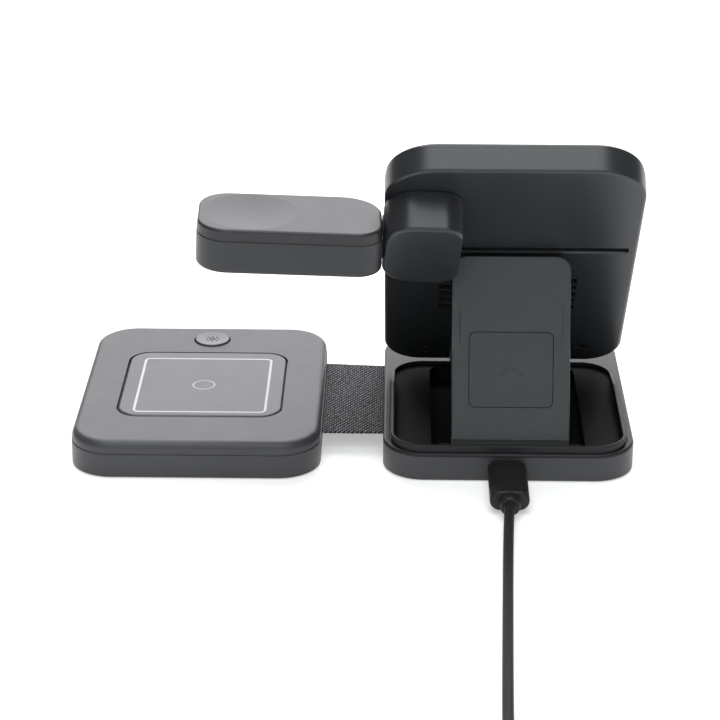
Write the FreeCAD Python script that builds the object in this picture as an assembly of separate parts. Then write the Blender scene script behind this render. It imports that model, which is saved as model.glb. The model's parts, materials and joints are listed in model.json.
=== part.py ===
import FreeCAD, Part
import math
import os

os.makedirs("parts", exist_ok=True)

# Folding wireless charger, millimetres, +Z up.
# The origin is the middle of the base's underside, the power inlet faces -Y.

V = FreeCAD.Vector
Turn = FreeCAD.Rotation
X_AXIS = V(1, 0, 0)
Y_AXIS = V(0, 1, 0)
Z_AXIS = V(0, 0, 1)

# Driving sizes of the footprint that base and pad share
BODY_W = 76.5
BODY_D = 94.0
BODY_R = 12.5
CASE_WALL = 1.6
CASE_FLOOR = 1.8
CASE_BOTTOM_FILLET = 0.6
SOLE_PROUD = 0.2
SOLE_SEAT = 0.4
SOLE_INSET = 9.0
SEAM_STEP = 0.25

# Base cover: deck, raised collar and tray
BASE_SEAM_Z = 8.0
DECK_Z = 9.1
DECK_FILLET = 0.8
COLLAR_Z = 11.3
COLLAR_INSET = 2.4
COLLAR_FRONT_INSET = 1.15
COLLAR_T = 0.9
COLLAR_FILLET = 0.4
COLLAR_GROOVE_W = 0.5
COLLAR_GROOVE_DEPTH = 0.6
COLLAR_RAMP_L = 14.0
COLLAR_RAMP_GAP = 9.0
RECESS_BACK_GAP = 0.5
RECESS_BACK_R = 9.5
RECESS_WALL = 0.4
LEDGE_Z = 7.7
TRAY_T = 1.0
TRAY_FLOOR_Z = 3.0
TRAY_HALF_W = 23.5
TRAY_FRONT_WALL = 3.4
TRAY_BACK_GAP = 1.0
TRAY_R = 4.0

# Power inlet
PORT_X = -0.75
PORT_Z = 4.4
SOCKET_W = 8.94
SOCKET_H = 3.26
SOCKET_L = 6.5
SOCKET_WALL = 0.2
SOCKET_SINK = 0.2
SOCKET_CLEAR = 0.1
HOUSING_WALL = 0.8
TONGUE_W = 6.7
TONGUE_H = 0.7
TONGUE_L = 4.4

# Phone plate, built flat and then leaned back on its hinge
PLATE_W = BODY_W
PLATE_L = 114.3
PLATE_T = 10.0
PLATE_R = 12.0
PLATE_TOP_R = 15.5
PLATE_ANGLE = 51.0
PLATE_FROM_STRUT = 65.5
PLATE_EDGE_Z = 10.0
PLATE_WALL = 1.8
PLATE_BACK_T = 1.6
PLATE_BACK_FILLET = 1.0
FRONT_T = 2.6
FRONT_FILLET = 1.2
HINGE_BAR_L = 12.5
GROOVE_U = 70.35
GROOVE_H = 2.7
GROOVE_END_R = 0.6
GROOVE_LIP = 0.45
GROOVE_END_WALL = 2.65
GROOVE_DEPTH = 2.2
GROOVE_RIB_T = 1.4
FULL_ROUND_LEFT = 0.01
VENT_COUNT = 5
VENT_PITCH = 4.1
VENT_H = 2.6
VENT_END_R = 0.4
VENT_HALF_L = 21.3
VENT_FIRST_U = 35.5
SCREW_INSET = 12.85
SCREW_U = 9.6
SCREW_HEAD_R = 1.7
SCREW_HEAD_H = 0.8
SCREW_SHANK_R = 0.9
SCREW_SINK = 0.5
SCREW_BITE = 1.4
SCREW_CLEAR = 0.1
DRIVE_R = 0.8
DRIVE_DEPTH = 0.4

# Charging sets: magnet ring, coil and ferrite of the plate
RING_U = 60.0
RING_OUT_R = 27.5
RING_IN_R = 23.5
RING_T = 1.5
PLATE_COIL_OUT_R = 21.5
PLATE_COIL_IN_R = 10.0
PLATE_COIL_T = 1.2
PLATE_SHIELD_R = 22.0
SHIELD_T = 0.8
BOARD_T = 1.2
BOARD_CORNER = 1.0
PLATE_BOARD_W = 46.0
PLATE_BOARD_L = 14.0
PLATE_BOARD_U = 22.0

# Hinge of the plate
PIN_R = 1.25
PIN_HALF_L = 22.0
PIN_CLEAR = 0.05
PIN_PRESS = 0.02
PIN_U = 5.5
PIN_DEPTH = 5.0
LUG_IN_X = 12.7
LUG_T = 4.0
LUG_R = 3.8
LUG_SIDE_CLEAR = 0.2
LUG_SWING_CLEAR = 0.8
LUG_FOOT_BACK = 8.0

# Strut
STRUT_X = 0.3
STRUT_W = 35.7
STRUT_L = 59.6
STRUT_T = 4.6
STRUT_R = 4.2
STRUT_ANGLE = 69.2
STRUT_PIN_INSET = 2.6
STRUT_PIN_Z = 7.0
STRUT_PIN_R = 1.2
STRUT_LUG_T = 3.0
STRUT_LUG_GAP = 0.5
STRUT_LUG_R = 2.6
STRUT_EDGE_FILLET = 0.5
STRUT_PIN_IN = 7.0
FOOT_STEP_LOW = 2.3
FOOT_STEP_HIGH = 4.0
FOOT_STEP_DEPTH = 2.0
NOTCH_HALF_W = 7.4
NOTCH_L = 1.4
PANEL_W = 25.2
PANEL_L = 22.5
PANEL_R = 1.8
PANEL_T = 1.2
PANEL_MID = 25.2
PANEL_GAP = 0.25
CHEVRON_HALF_W = 3.4
CHEVRON_H = 2.2
CHEVRON_T = 0.9
CHEVRON_DEPTH = 0.3
SCALLOP_R = 30.0
SCALLOP_DEPTH = 1.0
SCALLOP_W = 2.6
SCALLOP_MID = 38.3

# Knuckle on the plate and the watch arm that turns on it
KNUCKLE_W = 23.0
KNUCKLE_L = 31.0
KNUCKLE_H = 13.0
KNUCKLE_R = 9.5
KNUCKLE_RIGHT_R = 6.0
KNUCKLE_GAP = 0.3
KNUCKLE_FILLET = 1.2
KNUCKLE_INSET = 11.05
KNUCKLE_U = 88.2
KNUCKLE_TURN = -3.0
STUD_R = 3.0
STUD_IN_KNUCKLE = 5.0
CLIP_R = 5.0
CLIP_T = 0.8
CLIP_CLEAR = 0.1
ARM_L = 54.4
ARM_W = 31.0
ARM_H = 13.6
ARM_ABOVE = 6.5
ARM_R = 9.5
ARM_FRONT_R = 8.0
ARM_BACK_R = 12.5
ARM_GAP = 0.3
ARM_TILT = 2.0
ARM_COVER_T = 3.7
ARM_TOP_FILLET = 0.9
ARM_FLOOR = 2.2
ARM_BOTTOM_FILLET = 1.2
ARM_WALL = 1.8
ARM_HINGE_BLOCK = 11.0
ARM_PIN_R = 1.5
ARM_PIN_IN_KNUCKLE = 8.0
ARM_PIN_IN_ARM = 9.0
DISH_R = 14.0
DISH_DEPTH = 0.6
ARM_COIL_OUT_R = 12.5
ARM_COIL_IN_R = 5.0
ARM_COIL_T = 1.6
ARM_SHIELD_R = 13.0
ARM_MAGNET_R = 4.5

# Earbud pad
STRAP_LENGTH = 19.1
PAD_R = 13.0
PAD_SEAM_Z = 7.8
PAD_TOP_Z = 11.8
PAD_TOP_FILLET = 2.4
PAD_SKIN_T = 2.0
PAD_PLATE_W = 51.0
PAD_PLATE_R = 7.0
PAD_PLATE_FROM_BUTTON = 36.7
PAD_PLATE_T = 1.6
PAD_PLATE_SEAT = 1.4
PAD_PLATE_GAP = 0.4
PAD_PLATE_FILLET = 1.0
PAD_SEAT_FLOOR = 1.0
PAD_COIL_OUT_R = 22.0
PAD_COIL_IN_R = 9.0
PAD_SHIELD_R = 23.0
BUTTON_R = 5.6
BUTTON_BACK = 11.9
BUTTON_PROUD = 0.5
BUTTON_GAP = 0.45
BUTTON_FLANGE = 1.2
BUTTON_FLANGE_T = 0.7
BUTTON_LIFT = 0.2
BUTTON_DISH = 0.25
BUTTON_TRAVEL = 0.6
SWITCH_W = 6.0
SWITCH_SLACK = 0.1
PAD_BOARD_W = 44.0
PAD_BOARD_D = 14.0
BOARD_LIFT = 1.6
POST_R = 1.6

# Woven strap and the bars that hold its ends
STRAP_W = 53.4
STRAP_Y = 0.6
STRAP_T = 0.8
STRAP_TOP_Z = 6.5
STRAP_TUCK = 7.0
STRAP_SLOT_CLEAR = 0.3
CLAMP_W = 4.5
CLAMP_SETBACK = 0.9

# Base board behind the tray
BASE_BOARD_W = 52.0
BASE_BOARD_FRONT_GAP = 3.5
BASE_BOARD_BACK_GAP = 2.9

# Lead: plug, boot, cable, coil and far plug
PLUG_W = 11.8
PLUG_H = 6.3
PLUG_L = 22.0
PLUG_GAP = 0.4
PLUG_FILLET = 0.8
TIP_W = 8.34
TIP_H = 2.56
TIP_L = 6.2
TIP_WALL = 0.35
BOOT_BIG_R = 3.1
BOOT_SMALL_R = 2.0
BOOT_STEP_L = 3.8
BOOT_FILLET = 0.9
BOOT_L = 5.4
BOOT_LIP = 0.3
CORD_R = 1.5
COIL_MID_R = 18.0
COIL_ROLL_R = 4.55
COIL_X = -25.9
COIL_Y = -226.0
COIL_ENTRY_R = 19.5
COIL_ENTRY_Z = 2.35
COIL_EXIT_R = 21.0
TIE_W = 7.0
TIE_T = 0.4
TIE_ANGLE = 120.0
FLOOR_CLEAR = 0.05

# Values worked out from the driving sizes
CASE_BOTTOM_Z = SOLE_PROUD
CASE_FLOOR_Z = CASE_BOTTOM_Z + CASE_FLOOR
RECESS_HALF_W = BODY_W / 2 - COLLAR_INSET - COLLAR_T
RECESS_FRONT_Y = -BODY_D / 2 + COLLAR_FRONT_INSET + COLLAR_T
RECESS_R = BODY_R - COLLAR_INSET - COLLAR_T
TRAY_FRONT_Y = -BODY_D / 2 + TRAY_FRONT_WALL
STRUT_PIN_Y = TRAY_FRONT_Y + STRUT_PIN_INSET
PLATE_EDGE_Y = STRUT_PIN_Y + PLATE_FROM_STRUT
RECESS_BACK_Y = PLATE_EDGE_Y + RECESS_BACK_GAP
COLLAR_RAMP_END_Y = RECESS_BACK_Y - COLLAR_RAMP_GAP
COLLAR_RAMP_START_Y = COLLAR_RAMP_END_Y - COLLAR_RAMP_L
BASE_BOARD_FRONT_Y = RECESS_BACK_Y + BASE_BOARD_FRONT_GAP
BASE_BOARD_D = BODY_D / 2 - CASE_WALL - BASE_BOARD_BACK_GAP - BASE_BOARD_FRONT_Y
BASE_BOARD_Y = BASE_BOARD_FRONT_Y + BASE_BOARD_D / 2
GROOVE_HALF_L = PLATE_W / 2 - GROOVE_END_WALL
SCREW_X = PLATE_W / 2 - SCREW_INSET
KNUCKLE_X = -PLATE_W / 2 + KNUCKLE_INSET
BUTTON_Y = BODY_D / 2 - BUTTON_BACK
PAD_PLATE_Y = BUTTON_Y - PAD_PLATE_FROM_BUTTON
PAD_X = -(BODY_W + STRAP_LENGTH)
LEAN_COS = math.cos(math.radians(PLATE_ANGLE))
LEAN_SIN = math.sin(math.radians(PLATE_ANGLE))
HINGE_Y = PLATE_EDGE_Y - PIN_U * LEAN_COS + PIN_DEPTH * LEAN_SIN
HINGE_Z = PLATE_EDGE_Z + PIN_U * LEAN_SIN + PIN_DEPTH * LEAN_COS
REAR_T = PLATE_T - FRONT_T
ARM_AXIS_UP = KNUCKLE_GAP + KNUCKLE_H / 2
ARM_RIGHT = -KNUCKLE_W / 2 - ARM_GAP
ARM_LEFT = ARM_RIGHT - ARM_L
ARM_BELOW = ARM_H - ARM_ABOVE
ARM_SEAM = ARM_ABOVE - ARM_COVER_T
DISH_X = ARM_LEFT + ARM_W / 2
STRAP_BOTTOM_Z = STRAP_TOP_Z - STRAP_T
STRAP_MID_X = -BODY_W / 2 - STRAP_LENGTH / 2
PLUG_FACE_Y = -BODY_D / 2 - PLUG_GAP
BOOT_END_Y = PLUG_FACE_Y - PLUG_L - BOOT_L
COIL_Z = COIL_ROLL_R + TIE_T + FLOOR_CLEAR
FAR_PLUG_Z = PLUG_H / 2 + FLOOR_CLEAR


def rounded_face(width, depth, radius, x, y, z):
    """Rounded rectangle centred on x, y, as a face at height z; radius is one value or four."""
    a, b = width / 2, depth / 2
    radii = radius if isinstance(radius, tuple) else (radius, radius, radius, radius)
    corners = [(1, 1), (-1, 1), (-1, -1), (1, -1)]
    points = []
    for (sx, sy), r in zip(corners, radii):
        k = r * (1 - math.sqrt(0.5))
        along_x = V(x + sx * (a - r), y + sy * b, z)
        middle = V(x + sx * (a - k), y + sy * (b - k), z)
        along_y = V(x + sx * a, y + sy * (b - r), z)
        points.append((along_y, middle, along_x) if sx == sy else (along_x, middle, along_y))
    edges = []
    for i, (start, middle, end) in enumerate(points):
        edges.append(Part.Arc(start, middle, end).toShape())
        following = points[(i + 1) % len(points)][0]
        if end.distanceToPoint(following) > 1e-6:
            edges.append(Part.makeLine(end, following))
    return Part.Face(Part.Wire(edges))


def rounded_block(width, depth, height, radius, x=0.0, y=0.0, z=0.0):
    return rounded_face(width, depth, radius, x, y, z).extrude(V(0, 0, height))


def box(x0, x1, y0, y1, z0, z1):
    return Part.makeBox(x1 - x0, y1 - y0, z1 - z0, V(x0, y0, z0))


def post(radius, height, x, y, z):
    return Part.makeCylinder(radius, height, V(x, y, z), Z_AXIS)


def rod(radius, x0, x1, y, z):
    return Part.makeCylinder(radius, x1 - x0, V(x0, y, z), X_AXIS)


def ring(out_r, in_r, height, x, y, z):
    return post(out_r, height, x, y, z).cut(post(in_r, height, x, y, z))


def stadium(width, height, length, y, z):
    """Flat-sided oval bar along +Y from y, centred on the inlet's x and on z."""
    face = rounded_face(width, height, height / 2 - FULL_ROUND_LEFT, 0, 0, 0)
    bar = face.extrude(V(0, 0, length))
    bar.rotate(V(0, 0, 0), X_AXIS, -90)
    bar.translate(V(PORT_X, y, z))
    return bar


def edges_at(shape, z):
    """Edges that lie wholly at height z."""
    found = []
    for edge in shape.Edges:
        box_of_edge = edge.BoundBox
        if abs(box_of_edge.ZMin - z) < 1e-4 and abs(box_of_edge.ZMax - z) < 1e-4:
            found.append(edge)
    return found


def fillet_at(shape, z, radius):
    return shape.makeFillet(radius, edges_at(shape, z))


def place_on_plate(shape):
    """From the flat plate (x right, y up its length, z out of its back) to the leaned one."""
    shape.Placement = FreeCAD.Placement(V(0, PLATE_EDGE_Y, PLATE_EDGE_Z), Turn(X_AXIS, 180 - PLATE_ANGLE))
    return shape


def place_on_knuckle(shape):
    """From the knuckle's own frame (z out of the plate's back) to its place on the plate."""
    lean = FreeCAD.Placement(V(0, PLATE_EDGE_Y, PLATE_EDGE_Z), Turn(X_AXIS, 180 - PLATE_ANGLE))
    swivel = FreeCAD.Placement(V(KNUCKLE_X, KNUCKLE_U, 0), Turn(Z_AXIS, KNUCKLE_TURN))
    shape.Placement = lean.multiply(swivel)
    return shape


def place_on_arm(shape):
    """From the arm's own frame (x along its pin, z up) to its place on the knuckle."""
    lean = FreeCAD.Placement(V(0, PLATE_EDGE_Y, PLATE_EDGE_Z), Turn(X_AXIS, 180 - PLATE_ANGLE))
    swivel = FreeCAD.Placement(V(KNUCKLE_X, KNUCKLE_U, 0), Turn(Z_AXIS, KNUCKLE_TURN))
    tilt = FreeCAD.Placement(V(0, 0, ARM_AXIS_UP), Turn(X_AXIS, PLATE_ANGLE - 180 + ARM_TILT))
    shape.Placement = lean.multiply(swivel).multiply(tilt)
    return shape


def place_on_strut(shape):
    """From the flat strut (y from its pin to its tip, z out of its face) to the leaned one."""
    shape.Placement = FreeCAD.Placement(V(STRUT_X, STRUT_PIN_Y, STRUT_PIN_Z), Turn(X_AXIS, STRUT_ANGLE))
    return shape


def save(name, shape):
    shape = shape.removeSplitter()
    solid = shape.Solids[0]
    assert len(shape.Solids) == 1, (name, len(shape.Solids))
    assert solid.isValid(), name
    solid.exportStep("parts/%s.step" % name)


# Base

def case_room(height, corner, x):
    width = BODY_W - 2 * CASE_WALL
    depth = BODY_D - 2 * CASE_WALL
    return rounded_block(width, depth, height, corner - CASE_WALL, x, 0, CASE_FLOOR_Z)


def base_case():
    height = BASE_SEAM_Z - CASE_BOTTOM_Z
    case = rounded_block(BODY_W, BODY_D, height, BODY_R, 0, 0, CASE_BOTTOM_Z)
    case = fillet_at(case, CASE_BOTTOM_Z, CASE_BOTTOM_FILLET)
    case = case.cut(case_room(height, BODY_R, 0))
    case = case.cut(sole(SOLE_PROUD, SOLE_SEAT, BODY_R, 0.0))
    mouth_w = SOCKET_W + 2 * SOCKET_CLEAR
    mouth_h = SOCKET_H + 2 * SOCKET_CLEAR
    case = case.cut(stadium(mouth_w, mouth_h, 2 * CASE_WALL, -BODY_D / 2 - CASE_WALL, PORT_Z))
    case = case.cut(strap_slot(-BODY_W / 2))
    for sx in (-1, 1):
        case = case.fuse(post(POST_R, BOARD_LIFT, sx * BASE_BOARD_W / 3, BASE_BOARD_Y, CASE_FLOOR_Z))
    return case


def sole(bottom, height, corner, x):
    width = BODY_W - 2 * SOLE_INSET
    depth = BODY_D - 2 * SOLE_INSET
    return rounded_block(width, depth, height, corner - SOLE_INSET / 2, x, 0, bottom)


def strap_slot(x):
    clear = STRAP_SLOT_CLEAR
    front = STRAP_Y - STRAP_W / 2 - clear
    back = STRAP_Y + STRAP_W / 2 + clear
    low = STRAP_BOTTOM_Z - clear
    return box(x - 2 * CASE_WALL, x + 2 * CASE_WALL, front, back, low, STRAP_TOP_Z + clear)


def recess_outline(grow, z, height):
    """Block with the recess's plan: front corners follow the case, back corners are tighter."""
    front = RECESS_FRONT_Y - grow
    back = RECESS_BACK_Y + grow
    half = RECESS_HALF_W + grow
    split = (front + back) / 2
    near = rounded_block(2 * half, 2 * (split - front), height, RECESS_R + grow, 0, split, z)
    far = rounded_block(2 * half, 2 * (back - split), height, RECESS_BACK_R + grow, 0, split, z)
    near = near.common(box(-half, half, front, split, z, z + height))
    far = far.common(box(-half, half, split, back, z, z + height))
    return near.fuse(far).removeSplitter()


def tray_block(grow, z, height):
    front = TRAY_FRONT_Y - grow
    back = RECESS_BACK_Y - TRAY_BACK_GAP + grow
    return rounded_block(2 * (TRAY_HALF_W + grow), back - front, height, TRAY_R, 0, (front + back) / 2, z)


def collar():
    height = COLLAR_Z - DECK_Z
    wall = recess_outline(COLLAR_T, DECK_Z, height)
    wall = fillet_at(wall, COLLAR_Z, COLLAR_FILLET)
    reach = BODY_W
    ramp = Part.Face(Part.makePolygon([
        V(-reach, COLLAR_RAMP_START_Y, COLLAR_Z + COLLAR_T),
        V(-reach, COLLAR_RAMP_START_Y, COLLAR_Z),
        V(-reach, COLLAR_RAMP_END_Y, DECK_Z),
        V(-reach, reach, DECK_Z),
        V(-reach, reach, COLLAR_Z + COLLAR_T),
        V(-reach, COLLAR_RAMP_START_Y, COLLAR_Z + COLLAR_T)])).extrude(V(2 * reach, 0, 0))
    return wall.cut(ramp)


def collar_groove():
    """Narrow channel round the collar's foot that runs out where the collar does."""
    low = DECK_Z - COLLAR_GROOVE_DEPTH
    outer = recess_outline(COLLAR_T + COLLAR_GROOVE_W, low, 2 * COLLAR_GROOVE_DEPTH)
    channel = outer.cut(recess_outline(COLLAR_T, low, 2 * COLLAR_GROOVE_DEPTH))
    reach = BODY_W
    run_out = Part.Face(Part.makePolygon([
        V(-reach, COLLAR_RAMP_START_Y, low),
        V(-reach, COLLAR_RAMP_END_Y, DECK_Z + COLLAR_GROOVE_DEPTH),
        V(-reach, reach, DECK_Z + COLLAR_GROOVE_DEPTH),
        V(-reach, reach, low),
        V(-reach, COLLAR_RAMP_START_Y, low)])).extrude(V(2 * reach, 0, 0))
    return channel.cut(run_out)


def plate_lug(x):
    """Lug that stands on the deck and holds the plate's pin."""
    ear = rod(LUG_R, x, x + LUG_T, HINGE_Y, HINGE_Z)
    foot_y = max(RECESS_BACK_Y + COLLAR_FILLET, HINGE_Y - LUG_R)
    foot_z = DECK_Z - DECK_FILLET
    outline = Part.makePolygon([
        V(x, foot_y, foot_z),
        V(x, HINGE_Y - LUG_R, HINGE_Z),
        V(x, HINGE_Y + LUG_R, HINGE_Z),
        V(x, foot_y + LUG_FOOT_BACK, foot_z),
        V(x, foot_y, foot_z)])
    web = Part.Face(outline).extrude(V(LUG_T, 0, 0))
    hole = rod(PIN_R + PIN_PRESS, x - LUG_T, x + 2 * LUG_T, HINGE_Y, HINGE_Z)
    return ear.fuse(web).cut(hole)


def strut_lug(x):
    """Lug on the tray floor beside the strut's foot."""
    ear = rod(STRUT_LUG_R, x, x + STRUT_LUG_T, STRUT_PIN_Y, STRUT_PIN_Z)
    web = box(x, x + STRUT_LUG_T, STRUT_PIN_Y - STRUT_LUG_R, STRUT_PIN_Y + STRUT_LUG_R,
              TRAY_FLOOR_Z - TRAY_T / 2, STRUT_PIN_Z)
    hole = rod(STRUT_PIN_R + PIN_PRESS, x - STRUT_LUG_T, x + 2 * STRUT_LUG_T, STRUT_PIN_Y, STRUT_PIN_Z)
    return ear.fuse(web).cut(hole)


def base_cover():
    plan = rounded_block(BODY_W, BODY_D, DECK_Z - BASE_SEAM_Z, BODY_R, 0, 0, BASE_SEAM_Z)
    cover = fillet_at(plan, DECK_Z, DECK_FILLET)
    cover = cover.cut(collar_groove())
    cover = cover.fuse(collar())
    ledge_bottom = LEDGE_Z - TRAY_T
    tray_bottom = TRAY_FLOOR_Z - TRAY_T
    cover = cover.fuse(recess_outline(RECESS_WALL, ledge_bottom, BASE_SEAM_Z - ledge_bottom))
    cover = cover.fuse(tray_block(TRAY_T, tray_bottom, BASE_SEAM_Z - tray_bottom))
    cover = cover.cut(recess_outline(0.0, LEDGE_Z, COLLAR_Z - LEDGE_Z + COLLAR_T))
    cover = cover.cut(tray_block(0.0, TRAY_FLOOR_Z, COLLAR_Z - TRAY_FLOOR_Z))
    cover = cover.fuse(socket_housing())
    cover = cover.cut(socket_room())
    for side in (-1, 1):
        plate_x = side * LUG_IN_X if side > 0 else -LUG_IN_X - LUG_T
        cover = cover.fuse(plate_lug(plate_x))
        inner = STRUT_W / 2 + STRUT_LUG_GAP
        strut_x = STRUT_X + (inner if side > 0 else -inner - STRUT_LUG_T)
        cover = cover.fuse(strut_lug(strut_x))
    return cover


def socket_housing():
    half = SOCKET_W / 2 + HOUSING_WALL
    back = -BODY_D / 2 + SOCKET_SINK + SOCKET_L
    top = PORT_Z + SOCKET_H / 2 + HOUSING_WALL
    front = TRAY_FRONT_Y - TRAY_T
    return box(PORT_X - half, PORT_X + half, front, back, TRAY_FLOOR_Z - TRAY_T, top)


def socket_room():
    start = -BODY_D / 2
    return stadium(SOCKET_W + SOCKET_CLEAR, SOCKET_H + SOCKET_CLEAR, SOCKET_L + CASE_WALL, start, PORT_Z)


def usb_socket():
    mouth_y = -BODY_D / 2 + SOCKET_SINK
    shell = stadium(SOCKET_W, SOCKET_H, SOCKET_L, mouth_y, PORT_Z)
    inside_w = SOCKET_W - 2 * SOCKET_WALL
    inside_h = SOCKET_H - 2 * SOCKET_WALL
    inside = stadium(inside_w, inside_h, SOCKET_L, mouth_y - SOCKET_WALL, PORT_Z)
    back = mouth_y + SOCKET_L - SOCKET_WALL
    half_w = TONGUE_W / 2
    half_h = TONGUE_H / 2
    tongue = box(PORT_X - half_w, PORT_X + half_w, back - TONGUE_L, back, PORT_Z - half_h, PORT_Z + half_h)
    return shell.cut(inside).fuse(tongue)


def base_board():
    low = CASE_FLOOR_Z + BOARD_LIFT
    return rounded_block(BASE_BOARD_W, BASE_BOARD_D, BOARD_T, BOARD_CORNER, 0, BASE_BOARD_Y, low)


# Phone plate, in its own flat frame

def lug_slots(top_z, bottom_z):
    """Room for the base's lugs at the plate's lower end."""
    slots = []
    reach = PIN_U + LUG_R + LUG_SWING_CLEAR
    for side in (-1, 1):
        near = side * (LUG_IN_X - LUG_SIDE_CLEAR)
        far = side * (LUG_IN_X + LUG_T + LUG_SIDE_CLEAR)
        slots.append(box(min(near, far), max(near, far), -PLATE_T, reach, bottom_z, top_z))
    return slots


def plate_corners(inset):
    """The plate's four corner radii, top pair first."""
    top = PLATE_TOP_R - inset
    low = PLATE_R - inset
    return (top, top, low, low)


def plate_rear():
    rear = rounded_block(PLATE_W, PLATE_L, REAR_T, plate_corners(0.0), 0, PLATE_L / 2, -REAR_T)
    rear = fillet_at(rear, 0.0, PLATE_BACK_FILLET)
    room_l = PLATE_L - HINGE_BAR_L - PLATE_WALL
    room = rounded_block(PLATE_W - 2 * PLATE_WALL, room_l, REAR_T, plate_corners(PLATE_WALL), 0,
                         HINGE_BAR_L + room_l / 2, -REAR_T - PLATE_BACK_T)
    rear = rear.cut(room)
    rib_depth = GROOVE_DEPTH + GROOVE_RIB_T
    rib_half = GROOVE_H / 2 + GROOVE_RIB_T
    rear = rear.fuse(box(-PLATE_W / 2 + PLATE_WALL / 2, PLATE_W / 2 - PLATE_WALL / 2, GROOVE_U - rib_half,
                         GROOVE_U + rib_half, -rib_depth, -PLATE_BACK_T))
    groove_l = 2 * GROOVE_HALF_L
    groove = rounded_block(groove_l, GROOVE_H, 2 * GROOVE_DEPTH, GROOVE_END_R, 0, GROOVE_U, -GROOVE_DEPTH)
    rear = rear.cut(groove).cut(groove_lip())
    for i in range(VENT_COUNT):
        u = VENT_FIRST_U + i * VENT_PITCH
        rear = rear.cut(rounded_block(2 * VENT_HALF_L, VENT_H, REAR_T, VENT_END_R, 0, u, -PLATE_BACK_T * 2))
    for slot in lug_slots(PLATE_T, -REAR_T - PLATE_T):
        rear = rear.cut(slot)
    bore_half = PIN_HALF_L + PIN_CLEAR
    rear = rear.cut(rod(PIN_R + PIN_CLEAR, -bore_half, bore_half, PIN_U, -PIN_DEPTH))
    head_r = SCREW_HEAD_R + SCREW_CLEAR
    shank_r = SCREW_SHANK_R + SCREW_CLEAR
    seat_z = -SCREW_SINK - SCREW_HEAD_H
    for sx in (-1, 1):
        rear = rear.cut(post(head_r, 2 * PLATE_T, sx * SCREW_X, SCREW_U, seat_z))
        rear = rear.cut(post(shank_r, 2 * PLATE_T, sx * SCREW_X, SCREW_U, -2 * PLATE_T))
        post_x = sx * PLATE_BOARD_W / 3
        rear = rear.fuse(post(POST_R, PLATE_BACK_T, post_x, PLATE_BOARD_U, -2 * PLATE_BACK_T))
    rear = rear.cut(post(STUD_R + PIN_CLEAR, 2 * PLATE_T, KNUCKLE_X, KNUCKLE_U, -PLATE_T))
    return rear


def groove_lip():
    """Bevel along the groove's lower edge."""
    edge_u = GROOVE_U - GROOVE_H / 2
    run = GROOVE_HALF_L - GROOVE_END_R
    bevel = Part.Face(Part.makePolygon([
        V(-run, edge_u - GROOVE_LIP, 0),
        V(-run, edge_u + GROOVE_LIP, GROOVE_LIP),
        V(-run, edge_u + GROOVE_LIP, -2 * GROOVE_LIP),
        V(-run, edge_u - GROOVE_LIP, 0)]))
    return bevel.extrude(V(2 * run, 0, 0))


def plate_front():
    front = rounded_block(PLATE_W - 2 * SEAM_STEP, PLATE_L - 2 * SEAM_STEP, FRONT_T,
                          plate_corners(SEAM_STEP), 0, PLATE_L / 2, -PLATE_T)
    front = fillet_at(front, -PLATE_T, FRONT_FILLET)
    for slot in lug_slots(PLATE_T, -PLATE_T - PLATE_T):
        front = front.cut(slot)
    for sx in (-1, 1):
        low = -REAR_T - SCREW_BITE
        front = front.cut(post(SCREW_SHANK_R + PIN_PRESS, PLATE_T, sx * SCREW_X, SCREW_U, low))
    return front


def plate_screw(x):
    top = -SCREW_SINK
    head = post(SCREW_HEAD_R, SCREW_HEAD_H, x, SCREW_U, top - SCREW_HEAD_H)
    length = REAR_T + SCREW_BITE - SCREW_SINK - SCREW_HEAD_H
    shank = post(SCREW_SHANK_R, length, x, SCREW_U, top - SCREW_HEAD_H - length)
    arm = DRIVE_R / 3
    low = top - DRIVE_DEPTH
    high = top + DRIVE_DEPTH
    drive = box(x - DRIVE_R, x + DRIVE_R, SCREW_U - arm, SCREW_U + arm, low, high)
    cross = box(x - arm, x + arm, SCREW_U - DRIVE_R, SCREW_U + DRIVE_R, low, high)
    return head.fuse(shank).cut(drive).cut(cross)


def plate_magnets():
    return ring(RING_OUT_R, RING_IN_R, RING_T, 0, RING_U, -REAR_T)


def plate_coil():
    return ring(PLATE_COIL_OUT_R, PLATE_COIL_IN_R, PLATE_COIL_T, 0, RING_U, -REAR_T)


def plate_shield():
    return post(PLATE_SHIELD_R, SHIELD_T, 0, RING_U, -REAR_T + PLATE_COIL_T)


def plate_board():
    low = -2 * PLATE_BACK_T - BOARD_T
    return rounded_block(PLATE_BOARD_W, PLATE_BOARD_L, BOARD_T, BOARD_CORNER, 0, PLATE_BOARD_U, low)


# Strut, in its own flat frame

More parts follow.
